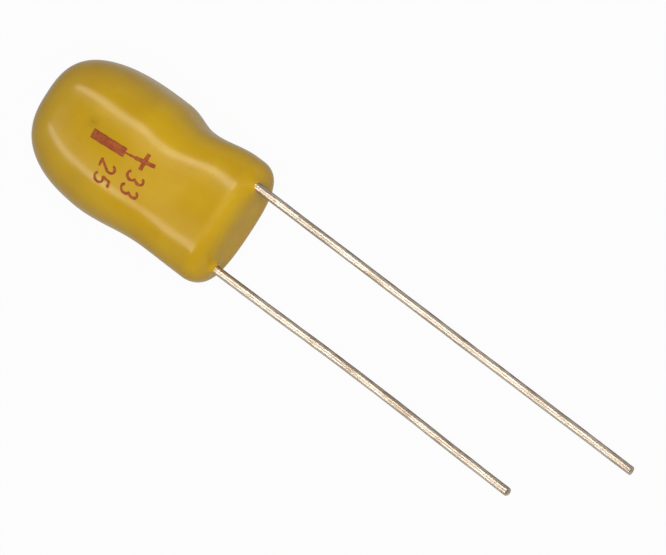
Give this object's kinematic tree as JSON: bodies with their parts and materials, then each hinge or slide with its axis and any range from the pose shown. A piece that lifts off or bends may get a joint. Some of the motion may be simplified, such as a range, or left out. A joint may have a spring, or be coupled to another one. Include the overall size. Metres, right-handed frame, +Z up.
{
  "type": "tantalum bead capacitor",
  "caption": "Resin-dipped bead capacitor: a pear-shaped amber epoxy drop, flat at its lead end, with parallel tinned wire leads of unequal length; stores charge on a circuit board.",
  "frame": {"origin": "on the floor, under the middle of the bounding box", "axes": "+X along the leads towards their tips as seen from above, +Y from the negative lead to the positive one, +Z up, out of the marked face; the part lies as it rests, on the belly of the bead and both lead tips"},
  "size_m": [0.0411, 0.0081, 0.0072],
  "materials": {
    "resin": "satin",
    "tinned_wire": "bright tin plate",
    "sintered_metal": "matte",
    "anode_wire": "satin",
    "white_washer": "matte",
    "black_oxide": "matte",
    "graphite": "matte",
    "silver_paint": "matte",
    "solder": "satin"
  },
  "bodies": {
    "root": {"resin_coating": "resin", "positive_lead": "tinned_wire", "negative_lead": "tinned_wire", "anode_pellet": "sintered_metal", "riser_wire": "anode_wire", "wire_washer": "white_washer", "dioxide_coat": "black_oxide", "graphite_coat": "graphite", "silver_coat": "silver_paint", "solder_coat": "solder"}
  },
  "joints": []
}
